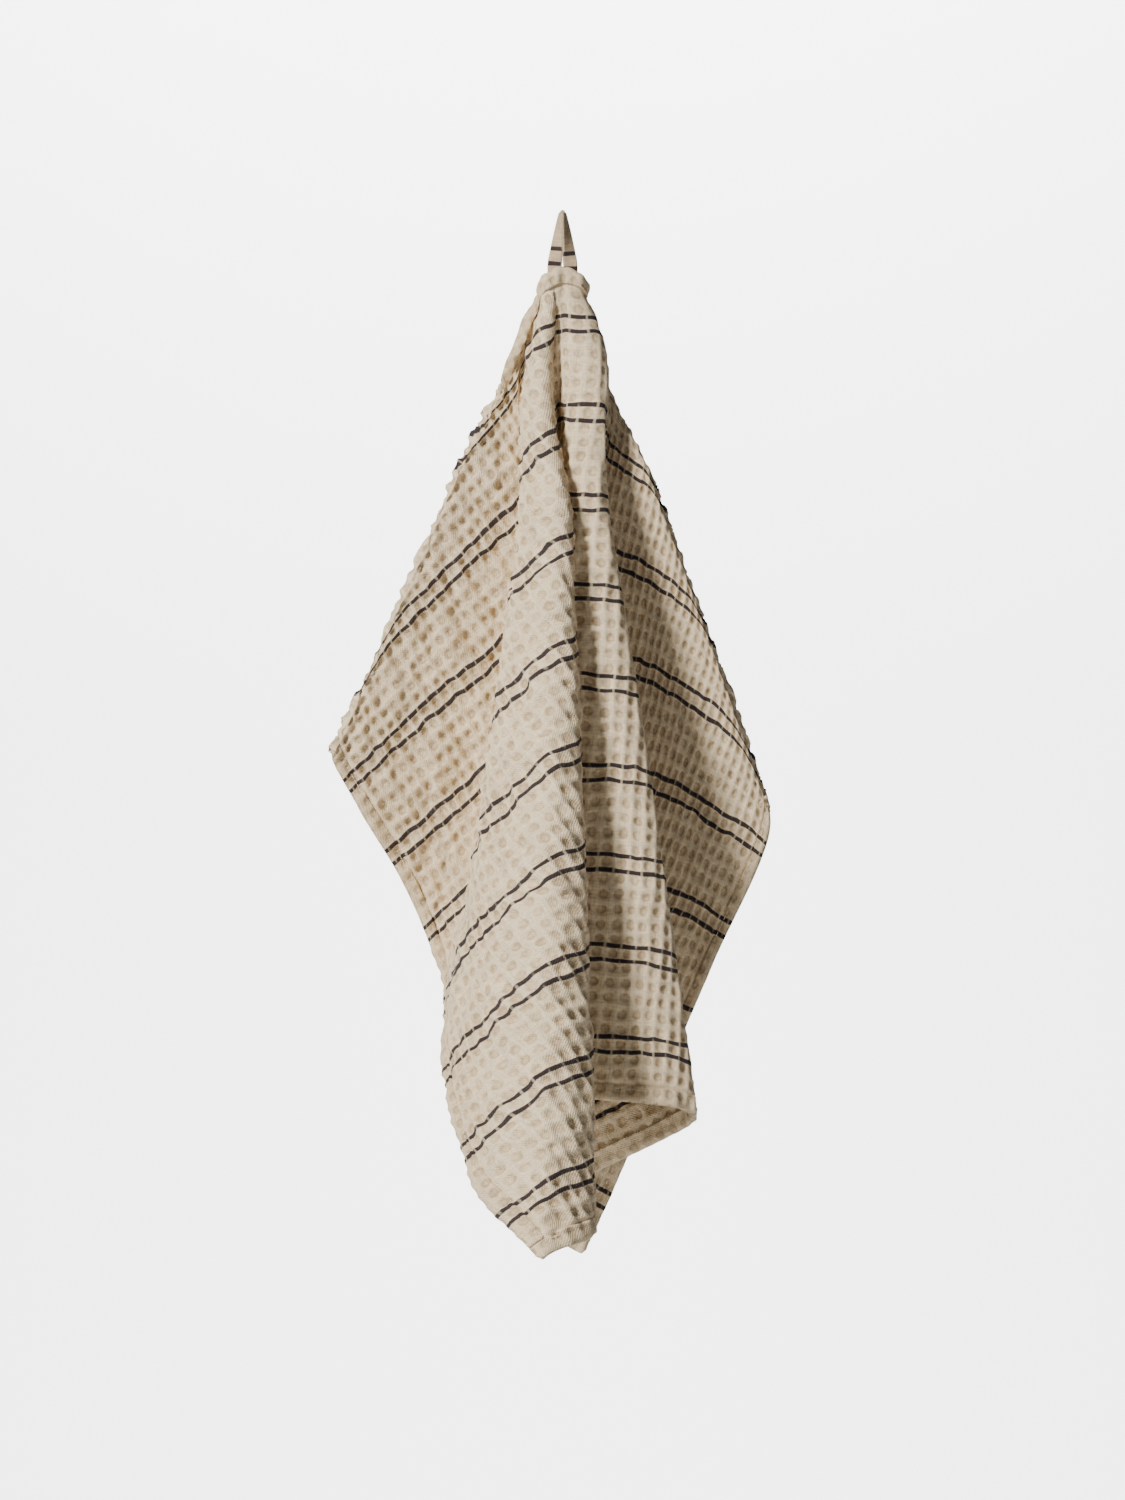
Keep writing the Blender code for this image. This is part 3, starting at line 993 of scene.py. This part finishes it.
@dataclass(frozen=True)
class ClothFinish:
    """One cloth or thread finish of the towel.

    ridge is the cloth's own colour on the raised threads and stripe that of the dyed threads. The
    pit colour is painted shade, darker than ridge, laid in the hollows where shade falls. relief
    is the share of that painted pit shade that shows, from 0 on thread to 1 on the panel.
    """

    name: str
    slot: str
    ridge: Colour
    pit_shade: Colour
    stripe: Colour
    relief: float
    slub: float = 0.62
    blotch: float = 0.30
    roughness: float = 0.94
    sheen: float = 0.08
    bump: float = 0.8
    bump_depth: float = 0.0006
    rough_change: float = 0.2
    sheen_roughness: float = 0.6
    specular: float = 0.2

    def make(self) -> bpy.types.Material:
        """Makes the material.

        Returns:
            Waffle and stripes, threads over them, and a matt sheen.
        """
        material = bpy.data.materials.new(self.name)
        material.use_nodes = True
        material.diffuse_color = (*self.ridge, 1.0)
        tree = material.node_tree
        shader = tree.nodes["Principled BSDF"]
        place = tree.nodes.new("ShaderNodeAttribute")
        place.attribute_name = PLACE
        waffle = self._group(tree, SharedGroup.WAFFLE)
        threads = self._group(tree, SharedGroup.THREADS)
        for group in (waffle, threads):
            tree.links.new(place.outputs["Vector"], group.inputs["Place"])
        waffle.inputs["Ridge"].default_value = (*self.ridge, 1.0)
        # The pit colour is painted shade for the waffle's hollows.
        waffle.inputs["Pit"].default_value = (*self.pit_shade, 1.0)
        waffle.inputs["Stripe"].default_value = (*self.stripe, 1.0)
        waffle.inputs["Relief"].default_value = self.relief
        threads.inputs["Slub"].default_value = self.slub
        threads.inputs["Blotch"].default_value = self.blotch
        toned = tree.nodes.new("ShaderNodeHueSaturation")
        value = Wire(tree, threads.outputs["Tone"]) + 1.0
        tree.links.new(value.socket, toned.inputs["Value"])
        tree.links.new(waffle.outputs["Color"], toned.inputs["Color"])
        tree.links.new(toned.outputs["Color"], shader.inputs["Base Color"])
        rough = Wire(tree, threads.outputs["Tone"]) * self.rough_change + self.roughness
        tree.links.new(rough.socket, shader.inputs["Roughness"])
        bump = tree.nodes.new("ShaderNodeBump")
        bump.inputs["Strength"].default_value = self.bump
        bump.inputs["Distance"].default_value = self.bump_depth
        tree.links.new(threads.outputs["Height"], bump.inputs["Height"])
        tree.links.new(bump.outputs["Normal"], shader.inputs["Normal"])
        shader.inputs["Sheen Weight"].default_value = self.sheen
        shader.inputs["Sheen Roughness"].default_value = self.sheen_roughness
        shader.inputs["Specular IOR Level"].default_value = self.specular
        shader.inputs["Metallic"].default_value = 0.0
        return material

    @staticmethod
    def _group(tree: bpy.types.NodeTree, which: SharedGroup) -> bpy.types.Node:
        """Places a shared group in a material.

        Args:
            tree: The material's nodes.
            which: The group.

        Returns:
            The group's node.
        """
        node = tree.nodes.new("ShaderNodeGroup")
        node.node_tree = bpy.data.node_groups[which.value]
        return node


CHARCOAL = (0.036, 0.026, 0.026)
SPUN = (0.80, 0.70, 0.55)
# The second colour of each finish is painted shade, laid in its waffle hollows.
WAFFLE_FINISH = ClothFinish(
    "washed_waffle", "waffle_cloth", (0.82, 0.67, 0.455), (0.49, 0.36, 0.21), CHARCOAL, 1.0
)
HEM_FINISH = ClothFinish(
    "pressed_hem", "hem_cloth", (0.76, 0.61, 0.405), (0.46, 0.34, 0.20), CHARCOAL, 0.9
)
TAPE_FINISH = ClothFinish(
    "folded_strip", "loop_tape", (0.56, 0.43, 0.28), (0.44, 0.32, 0.20), CHARCOAL, 0.4
)
THREAD_FINISH = ClothFinish(
    "spun_cotton", "sewing_thread", SPUN, (0.70, 0.58, 0.43), SPUN, 0.0, slub=0.3
)


def dress(piece: bpy.types.Object, finish: ClothFinish, nodes: Iterable[str]) -> None:
    """Gives a piece its material, and lets it stand for its frame nodes.

    Args:
        piece: The piece.
        finish: What it is made of.
        nodes: The frame nodes that it replaces.
    """
    material = bpy.data.materials.get(finish.name) or finish.make()
    piece.data.materials.append(material)
    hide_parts(*nodes)


# ---- Sub-assemblies ----


@dataclass
class WafflePanel:
    """The waffle-woven body of the towel, from hem to hem, with its relief on both faces."""

    cut: ClothCut
    drape: Drape
    weave: WaffleWeave
    crinkle: Crinkle
    tuck: float = 0.0012
    collar_calm: tuple[float, float] = (0.03, 0.12)
    collar_least: float = 0.55
    fold_span: float = 0.004
    fold_keeps: float = 0.18
    fold_turn: tuple[float, float] = (0.08, 0.60)
    back_shift: float = 0.5

    def build(self) -> bpy.types.Object:
        """Builds the panel.

        Returns:
            One closed sheet that rides with the towel.
        """
        inset = self.cut.hem_width - self.tuck
        side = self.cut.half - inset
        across = self.weave.lines(-side, side, self.weave.border_u)
        down = self.weave.lines(inset, self.cut.drop - inset, self.weave.border_v)
        u, v = np.meshgrid(across, down)
        front, back = self.faces(u, v)
        panel = shell(front, back, u, v).build("waffle_panel")
        dress(panel, WAFFLE_FINISH, ["towel_panel"])
        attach(panel, "towel")
        return panel

    def faces(self, u: np.ndarray, v: np.ndarray) -> tuple[np.ndarray, np.ndarray]:
        """World places of both faces.

        Args:
            u, v: Flat places, across and down.

        Returns:
            The front face's places and the back's.
        """
        radius, angle = self.drape.fan(u, v)
        calm = self.collar_least + (1 - self.collar_least) * smooth_step(radius, *self.collar_calm)
        to_edge = np.minimum(np.minimum(self.cut.half - np.abs(u), v), self.cut.drop - v)
        to_hem = to_edge - self.cut.hem_width
        pressed = smooth_step(to_hem, -self.tuck, self.weave.hem_pressed)
        amount = self.crinkle.amount(angle)
        there = self.crinkle.wandered(u, v)
        hold = pressed[..., None]
        middle = self.drape.point(*there) * hold + self.drape.point(u, v) * (1 - hold)
        normal = self.drape.normal(u, v)
        calm = calm * self.on_fold(u, v)
        lift = self.crinkle.lift(u, v, amount) * pressed * calm
        height = self.weave.ridge_height * self.crinkle.ridge(u, v, amount) * calm * pressed
        top = self.weave.cloth_half + height * self.weave.relief(u, v)
        under = self.weave.cloth_half + height * self.weave.relief(u, v, self.back_shift)
        front = middle + normal * (lift + top)[..., None]
        back = middle + normal * (lift - under)[..., None]
        return front, back

    def on_fold(self, u: np.ndarray, v: np.ndarray) -> np.ndarray:
        """The share of its relief that the cloth keeps where it turns a sharp fold.

        Args:
            u, v: Flat places, across and down.

        Returns:
            1 where the cloth is flat, down to fold_keeps on a crease.
        """
        before = self.drape.normal(u - self.fold_span, v)
        after = self.drape.normal(u + self.fold_span, v)
        turned = 1 - np.sum(before * after, axis=-1)
        return 1 - (1 - self.fold_keeps) * smooth_step(turned, *self.fold_turn)


class HemEdge(Enum):
    """The four edges of the cloth."""

    TOP = "top"
    BOTTOM = "bottom"
    LEFT = "left_side"
    RIGHT = "right_side"

    @property
    def along_u(self) -> bool:
        """Whether the edge runs across the cloth."""
        return self in (HemEdge.TOP, HemEdge.BOTTOM)


@dataclass
class HemFold:
    """One edge of the cloth, turned twice to the back and pressed flat."""

    cut: ClothCut
    drape: Drape
    weave: WaffleWeave
    edge: HemEdge
    step: float = 0.0018
    thickness: float = 0.0015
    pinch: float = 0.0010
    corner: float = 0.0035
    side_start: float = 0.0104
    pucker: float = 0.00144
    imprint: float = 0.0016
    lumpiness: float = 0.2
    pucker_noise: SoftNoise = SoftNoise(41, 0.0065, 0.0065)
    lump_noise: SoftNoise = SoftNoise(42, 0.009, 0.009)
    turn: tuple[float, ...] = (35, 65, 90, 115, 145)

    def run(self) -> np.ndarray:
        """Where the rings of the band lie.

        Returns:
            Rising places along the edge.
        """
        if self.edge.along_u:
            return np.linspace(-self.cut.half, self.cut.half, round(self.cut.width / self.step))
        end = self.cut.drop - self.side_start
        return np.linspace(self.side_start, end, round((end - self.side_start) / self.step))

    def flat(self, along: np.ndarray, inward: np.ndarray) -> Grid:
        """Flat places of points near the edge.

        Args:
            along: Distances along the edge.
            inward: Distances in from it.

        Returns:
            Flat places across and down.
        """
        if self.edge is HemEdge.TOP:
            return along, inward
        if self.edge is HemEdge.BOTTOM:
            return along, self.cut.drop - inward
        if self.edge is HemEdge.LEFT:
            return -self.cut.half + inward, along
        return self.cut.half - inward, along

    def profile(self) -> np.ndarray:
        """The section round the folded band, pinched where the seam holds it.

        Returns:
            Distances in from the edge and out of the cloth, as rows.
        """
        t = self.thickness
        w = self.cut.hem_width
        seam = self.cut.seam_inset
        front = [
            (w, 0.45 * t),
            (w - 0.0007, 0.95 * t),
            (seam, t - self.pinch * 0.5),
            (0.0055, 1.05 * t),
            (0.003, 1.05 * t),
        ]
        edge = [(t * (1 - math.sin(a)), t * math.cos(a)) for a in np.radians(self.turn)]
        back = [
            (0.003, -1.05 * t),
            (0.0055, -1.1 * t),
            (seam, -t + self.pinch * 0.4),
            (w - 0.0006, -1.1 * t),
            (w + 0.0006, -0.95 * t),
            (w + 0.0004, -0.3 * t),
        ]
        return np.array(front + edge + back)

    def build(self) -> bpy.types.Object:
        """Builds the hem.

        Returns:
            One closed band that rides with the towel.
        """
        along = self.run()[:, None]
        inward, out = self.profile().T[:, None, :]
        if self.edge.along_u:
            to_end = np.clip(self.cut.half - np.abs(along), 0, self.corner)
            cut_back = self.corner - np.sqrt(self.corner**2 - (self.corner - to_end) ** 2)
            inward = np.maximum(inward, cut_back)
        u, v = self.flat(*np.broadcast_arrays(along, inward))
        wave = self.pucker_noise.at(u, v) * self.pucker
        lump = 1 + self.lumpiness * self.lump_noise.at(u, v)
        pressed = np.sign(out) * self.weave.relief(u, v) * self.imprint
        height = out * lump + pressed + wave
        rings = self.drape.point(u, v) + self.drape.normal(u, v) * height[..., None]
        if self.edge in (HemEdge.BOTTOM, HemEdge.LEFT):
            rings, u, v, out = rings[:, ::-1], u[:, ::-1], v[:, ::-1], out[:, ::-1]
        places = np.stack([u, v, (out < 0) * np.ones_like(u)], axis=-1)
        parts = MeshParts()
        parts.add(*tube(rings, places))
        hem = parts.build(f"{self.edge.value}_hem_fold")
        dress(hem, HEM_FINISH, [f"{self.edge.value}_hem"])
        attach(hem, "towel")
        return hem


@dataclass(frozen=True)
class Thread:
    """One sewing thread, laid along a line on the cloth."""

    radius: float
    around: int = 6

    def lay(
        self,
        flat: Grid,
        line: np.ndarray,
        normal: np.ndarray,
        girth: np.ndarray,
        lift: float = 0.0,
    ) -> tuple[np.ndarray, np.ndarray]:
        """Rings of points round the thread.

        Args:
            flat: Flat places of the thread, across and down.
            line: World places of the line that it follows.
            normal: Unit normals of the cloth there.
            girth: Share of its radius that the thread has at each place.
            lift: How far over the line the thread lies.

        Returns:
            The rings, and the flat place and side of each of their points.
        """
        beside = np.cross(normal, unit(np.gradient(line, axis=0)))
        turn = np.linspace(0, 2 * math.pi, self.around, endpoint=False)[:, None]
        ring = beside[:, None] * np.cos(turn) + normal[:, None] * np.sin(turn)
        rings = (line + normal * lift)[:, None] + ring * (girth * self.radius)[:, None, None]
        place = np.stack([*flat, np.zeros(len(line))], axis=-1)
        places = place[:, None] + np.zeros_like(rings)
        return rings, places


@dataclass
class SeamStitches:
    """A row of lockstitches that holds one hem down, on both faces."""

    hem: HemFold
    thread: Thread = Thread(0.00034)
    stitch: float = 0.0027
    gap: float = 0.0008
    side_gap: float = 0.002
    map_gap: float = 0.001
    shares: tuple[float, ...] = (-0.5, -0.38, 0.0, 0.38, 0.5)
    fullness: tuple[float, ...] = (0.35, 0.9, 1.0, 0.9, 0.35)

    def build(self) -> bpy.types.Object:
        """Builds every stitch of the row.

        Returns:
            One piece that rides with the towel.
        """
        cut = self.hem.cut
        edge = self.hem.edge
        pitch = self.stitch + self.gap
        if edge.along_u:
            first, last = -cut.half + cut.seam_inset, cut.half - cut.seam_inset
        else:
            first = cut.seam_inset + self.side_gap
            last = cut.drop - cut.seam_inset - self.side_gap
        centres = np.arange(first + pitch / 2, last - pitch / 2, pitch)
        seat = self.hem.thickness - self.hem.pinch / 2
        parts = MeshParts()
        columns = math.ceil(math.sqrt(2 * len(centres)))
        for number, (centre, side) in enumerate(product(centres, (1, -1))):
            row, column = divmod(number, columns)
            low = (column / columns + self.map_gap, row / columns + self.map_gap)
            high = ((column + 1) / columns - self.map_gap, (row + 1) / columns - self.map_gap)
            along = centre + np.array(self.shares) * self.stitch
            u, v = self.hem.flat(along, np.full(len(along), cut.seam_inset))
            normal = self.hem.drape.normal(u, v) * side
            line = self.hem.drape.point(u, v)
            laid = self.thread.lay((u, v), line, normal, np.array(self.fullness), seat)
            parts.add(*tube(*laid, low, high))
        seam = parts.build(f"{edge.value}_stitches")
        nodes = [f"{edge.value}_hem_seam" if edge.along_u else f"{edge.value}_seam"]
        dress(seam, THREAD_FINISH, nodes)
        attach(seam, "towel")
        return seam


@dataclass
class BarTack:
    """A dense zigzag of thread that ties one end of the loop's tape to the top hem."""

    drape: Drape
    name: str
    centre: float
    length: float = 0.0064
    top: float = 0.0016
    depth: float = 0.0017
    passes: int = 14
    pass_steps: int = 4
    seat: float = 0.0017
    thread: Thread = Thread(0.00026)

    def build(self) -> bpy.types.Object:
        """Builds the zigzag.

        Returns:
            One thread that rides with the towel.
        """
        run = np.linspace(0, 1, self.passes * self.pass_steps)
        u = self.centre + (run - 0.5) * self.length
        v = self.top + self.depth * np.abs((run * self.passes) % 2 - 1)
        normal = self.drape.normal(u, v)
        line = self.drape.point(u, v) + normal * self.seat
        parts = MeshParts()
        parts.add(*tube(*self.thread.lay((u, v), line, normal, np.ones_like(u))))
        tack = parts.build(f"{self.name}_stitches")
        dress(tack, THREAD_FINISH, [self.name])
        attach(tack, "towel")
        return tack


@dataclass
class HangingLoop:
    """The folded strip of striped cloth that hangs the towel, edge-on at its top."""

    height: float = -float(HINGE[2])
    width: float = 0.0088
    thickness: float = 0.0014
    slit: float = 0.00006
    tip_half: float = 0.0018
    foot_half: float = 0.0095
    tail: float = 0.0045
    steps: int = 44
    crown_steps: int = 10
    left_stripe: float = -0.0217
    right_stripe: float = -0.0247
    stripe_place: float = 0.0295
    flare: float = 0.92
    most_shown: float = 0.985
    blend_above: float = 0.004
    blend_below: float = 0.003

    def leg(self) -> np.ndarray:
        """The run of the tape along one leg, from its tail up to the crown.

        Returns:
            Its centre's x and z and the tape's turn, as rows.
        """
        z = np.linspace(-self.height - self.tail, -self.slit, self.steps)
        down = np.clip(-z / self.height, 0, 1)
        outer = self.tip_half + (self.foot_half - self.tip_half) * down**self.flare
        shown = np.clip((outer - self.slit) / self.width, 0, self.most_shown)
        return np.stack([(outer + self.slit) / 2, z, np.arcsin(shown)], axis=1)

    def build(self) -> bpy.types.Object:
        """Builds the tape.

        Returns:
            One strip over the crown and down both legs, turning from edge-on to face-on as it
            spreads.
        """
        leg = self.leg()
        radius = leg[-1, 0]
        rows: list[tuple] = []
        for x, z, turn in leg:
            rows.append(((-x, 0, z), (-math.sin(turn), math.cos(turn), 0), self.left_stripe))
        for k in range(1, self.crown_steps):
            share = k / self.crown_steps
            angle = math.pi * (1 - share)
            spot = (radius * math.cos(angle), 0, -self.slit + radius * math.sin(angle))
            stripe = self.left_stripe * (1 - share) + self.right_stripe * share
            rows.append((spot, (0, 1, 0), stripe))
        for x, z, turn in leg[::-1]:
            rows.append(((x, 0, z), (math.sin(turn), math.cos(turn), 0), self.right_stripe))
        centres, across, stripe = (np.array(column, float) for column in zip(*rows))
        ahead = unit(np.gradient(centres, axis=0))
        across = unit(across - ahead * np.sum(across * ahead, axis=1, keepdims=True))
        out = np.cross(ahead, across)
        wide, thick = self.section()
        rings = centres[:, None] + across[:, None] * wide[:, None] + out[:, None] * thick[:, None]
        v = self.stripe_place + stripe - centres[:, 2]
        places = np.stack(np.broadcast_arrays(wide, v[:, None], 0.0), axis=-1)
        parts = MeshParts()
        parts.add(*tube(rings[:, ::-1], places[:, ::-1]))
        tape = parts.build("loop_strip")
        dress(tape, TAPE_FINISH, ["hanging_loop"])
        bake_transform(tape)
        return tape

    def section(self) -> Grid:
        """The strip's cross-section: two folded edges with a shallow groove between them.

        Returns:
            Distances across the strip and out of it, once round.
        """
        half = self.width / 2
        t = self.thickness / 2
        side = [
            (half, 0.25 * t),
            (half - 0.3 * t, 0.85 * t),
            (half * 0.72, t),
            (half * 0.35, 0.8 * t),
        ]
        top = [(-x, y) for x, y in side] + [(0, 0.7 * t)] + side[::-1]
        under = [(x, -y) for x, y in top[::-1]]
        return tuple(np.array(top + under).T)


# ---- Studio ----


@dataclass(frozen=True)
class SoftLamp:
    """One large soft lamp: its place, what it aims at, its size and its power."""

    name: str
    place: tuple[float, float, float]
    aim: tuple[float, float, float]
    size: float
    power: float
    colour: Colour = (1.0, 1.0, 1.0)

    def build(self) -> None:
        """Puts the lamp in the scene."""
        data = bpy.data.lights.new(self.name, "AREA")
        data.shape = "SQUARE"
        data.size = self.size
        data.energy = self.power
        data.color = self.colour
        lamp = add_object(self.name, data)
        lamp.location = self.place
        towards = np.array(self.aim) - np.array(self.place)
        yaw = math.atan2(-towards[0], towards[1])
        pitch = math.atan2(towards[2], math.hypot(towards[0], towards[1]))
        lamp.rotation_euler = (math.pi / 2 + pitch, 0, yaw)


LAMPS = (
    SoftLamp("key_lamp", (-2.4, -2.6, 1.6), (0.0, 0.0, -0.3), 0.8, 290.0, (1.0, 0.97, 0.92)),
    SoftLamp("fill_lamp", (1.6, -3.4, 0.3), (0.0, 0.0, -0.35), 1.4, 14.0),
    SoftLamp("wall_lamp", (0.0, 4.8, 1.9), (0.0, 6.8, -0.2), 2.2, 560.0),
)


@dataclass
class Studio:
    """A pale seamless floor and wall, soft light and the camera."""

    view_height: float = 0.9045
    distance: float = 6.0
    middle: float = -0.324
    sensor: float = 36.0
    floor_gap: float = 0.80
    wall_distance: float = 6.8
    sweep_radius: float = 1.2
    half_width: float = 3.0
    front_reach: float = 1.6
    wall_top: float = 4.0
    sweep_steps: int = 16
    paper: Colour = (0.93, 0.93, 0.93)
    sky_colour: Colour = (1.0, 0.995, 0.985)
    sky_power: float = 0.02

    def build_camera(self) -> None:
        """A level camera straight in front of the towel."""
        data = bpy.data.cameras.new("camera")
        data.sensor_width = self.sensor
        data.lens = self.sensor * self.distance / self.view_height
        camera = add_object("camera", data)
        camera.location = (0, -self.distance, self.middle)
        camera.rotation_euler = (math.pi / 2, 0, 0)
        bpy.context.scene.camera = camera

    def build_sweep(self) -> None:
        """The floor, which curves up into the wall behind the towel."""
        floor = FRAME_BOX[0].z - self.floor_gap
        bend = np.linspace(0, math.pi / 2, self.sweep_steps)
        y = self.wall_distance - self.sweep_radius + self.sweep_radius * np.sin(bend)
        z = floor + self.sweep_radius * (1 - np.cos(bend))
        line = [(-self.front_reach, floor), *zip(y, z), (self.wall_distance, self.wall_top)]
        points = [(x, a, b) for a, b in line for x in (-self.half_width, self.half_width)]
        faces = [(2 * i, 2 * i + 1, 2 * i + 3, 2 * i + 2) for i in range(len(line) - 1)]
        mesh = bpy.data.meshes.new("pale_sweep")
        mesh.from_pydata(points, [], faces)
        mesh.shade_smooth()
        material = bpy.data.materials.new("pale_paper")
        material.use_nodes = True
        shader = material.node_tree.nodes["Principled BSDF"]
        shader.inputs["Base Color"].default_value = (*self.paper, 1.0)
        shader.inputs["Roughness"].default_value = 1.0
        mesh.materials.append(material)
        sweep = add_object("pale_sweep", mesh)

    def build_light(self) -> None:
        """A key from the upper left, a weak fill, a lamp on the wall and a faint sky."""
        for lamp in LAMPS:
            lamp.build()
        world = bpy.data.worlds.new("studio_sky")
        world.use_nodes = True
        sky = world.node_tree.nodes["Background"]
        sky.inputs["Color"].default_value = (*self.sky_colour, 1.0)
        sky.inputs["Strength"].default_value = self.sky_power
        bpy.context.scene.world = world


def main() -> None:
    """Builds the studio and the towel, and logs each piece's face count."""
    logging.basicConfig(level=logging.INFO, format="%(name)s: %(message)s")
    studio = Studio()
    studio.build_camera()
    studio.build_sweep()
    studio.build_light()
    cut = ClothCut()
    weave = WaffleWeave()
    make_thread_group(ThreadLook())
    make_waffle_group(weave, WaffleLook())
    drape = Drape(cut)
    log.info("trim %.3f degrees", drape.trim)
    panel = WafflePanel(cut, drape, weave, Crinkle()).build()
    hems = [HemFold(cut, drape, weave, edge) for edge in HemEdge]
    trims = [hem.build() for hem in hems]
    trims += [SeamStitches(hem).build() for hem in hems]
    for side, sign in (("left", -1), ("right", 1)):
        trims.append(BarTack(drape, f"{side}_bar_tack", sign * TACK_CENTRE).build())
    loop = HangingLoop().build()
    for piece in [panel, *trims, loop]:
        log.info("%s: %d faces", piece.name, len(piece.data.polygons))


if __name__ == "__main__":
    main()
